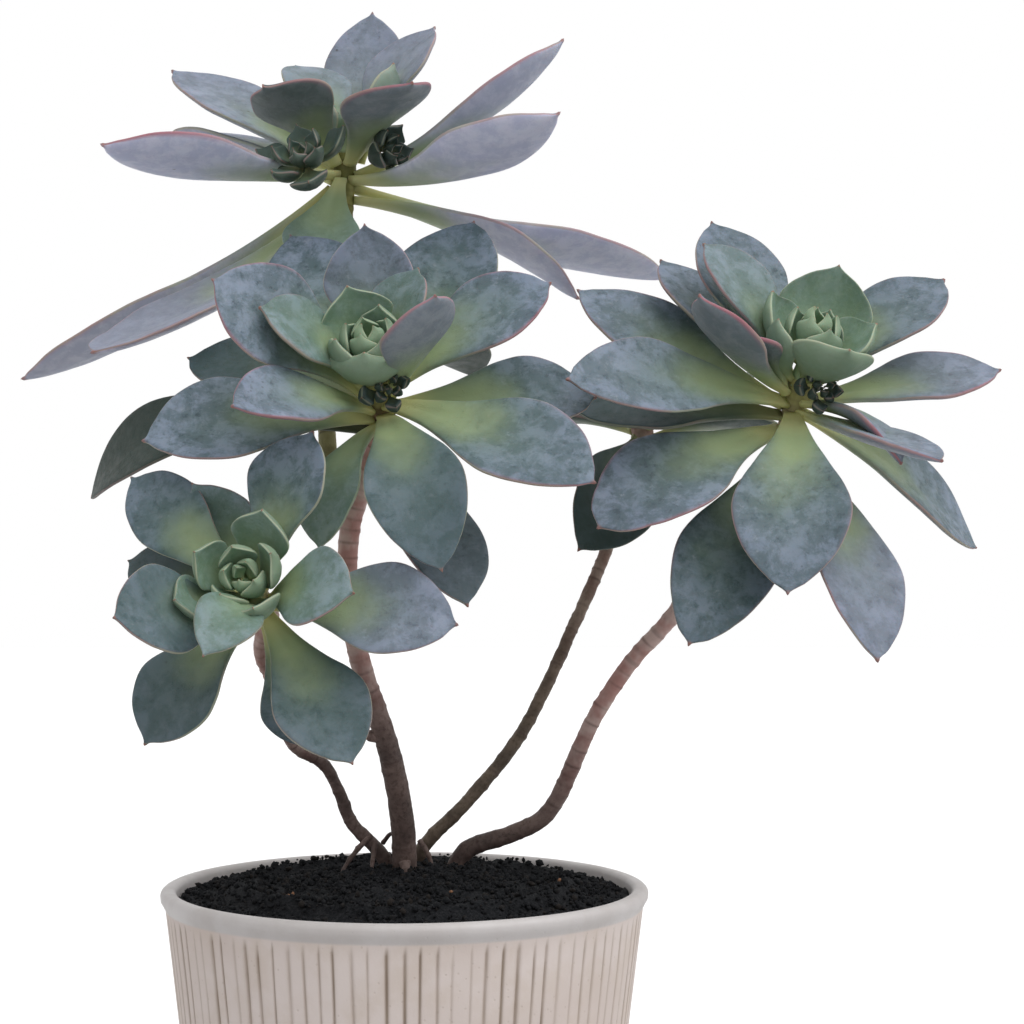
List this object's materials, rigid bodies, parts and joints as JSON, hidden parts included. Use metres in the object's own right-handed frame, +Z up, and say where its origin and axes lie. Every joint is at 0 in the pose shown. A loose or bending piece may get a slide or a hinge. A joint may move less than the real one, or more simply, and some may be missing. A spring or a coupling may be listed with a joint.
{
  "type": "potted succulent",
  "caption": "Leggy rosette succulent in a round ribbed ceramic pot, with spatula-shaped fleshy leaves on thin bare stems that lean out of dark soil.",
  "frame": {"origin": "centre of the pot's flat underside, on the surface it stands on", "axes": "+Z up, -Y to the front (the side the lower rosettes face), +X to the right seen from the front"},
  "size_m": [0.2504, 0.1639, 0.3343],
  "materials": {
    "pot": "matte",
    "soil": "matte",
    "stem": "matte",
    "leaf": "satin",
    "heart": "satin"
  },
  "bodies": {
    "root": {"pot": "pot", "soil": "soil", "stem_b": "stem", "stem_a": "stem", "stem_c": "stem", "stem_d": "stem", "stem_e": "stem", "leaf_a_top_back": "leaf", "leaf_a_top_right": "leaf", "leaf_a_front_left": "leaf", "leaf_a_front_right": "leaf", "leaf_a_left_up": "leaf", "leaf_a_left_red": "leaf", "leaf_a_left_back": "leaf", "leaf_a_right_up": "leaf", "leaf_a_right_mid": "leaf", "leaf_a_right_long": "leaf", "leaf_a_left_long": "leaf", "leaf_a_left_square": "leaf", "leaf_a_front_low": "leaf", "leaf_a_right_low": "leaf", "leaf_b_back": "leaf", "leaf_b_back_left": "leaf", "leaf_b_back_right": "leaf", "leaf_b_left_up": "leaf", "leaf_b_right_up": "leaf", "leaf_b_front_left": "leaf", "leaf_b_left_broad": "leaf", "leaf_b_left_dark": "leaf", "leaf_b_left_far": "leaf", "leaf_b_front_low_left": "leaf", "leaf_b_front_low": "leaf", "leaf_b_right_low": "leaf", "leaf_b_right_mid": "leaf", "leaf_b_low_back": "leaf", "leaf_c_back_left": "leaf", "leaf_c_right_back": "leaf", "leaf_c_left_red": "leaf", "leaf_c_right": "leaf", "leaf_c_right_low": "leaf", "leaf_c_front_low": "leaf", "leaf_c_left_low": "leaf", "leaf_c_left": "leaf", "leaf_c_left_back": "leaf", "leaf_c_left_dark": "leaf", "leaf_c_low_left": "leaf", "leaf_c_low_right": "leaf", "leaf_c_back_far": "leaf", "leaf_d_left": "leaf", "leaf_d_back_left": "leaf", "leaf_d_back_right": "leaf", "leaf_d_right": "leaf", "leaf_d_front": "leaf", "leaf_d_down_left": "leaf", "leaf_e_down": "leaf", "bud_a": "heart", "bud_b": "heart", "bud_c": "heart", "bud_d": "heart", "offset_a": "heart"}
  },
  "joints": []
}
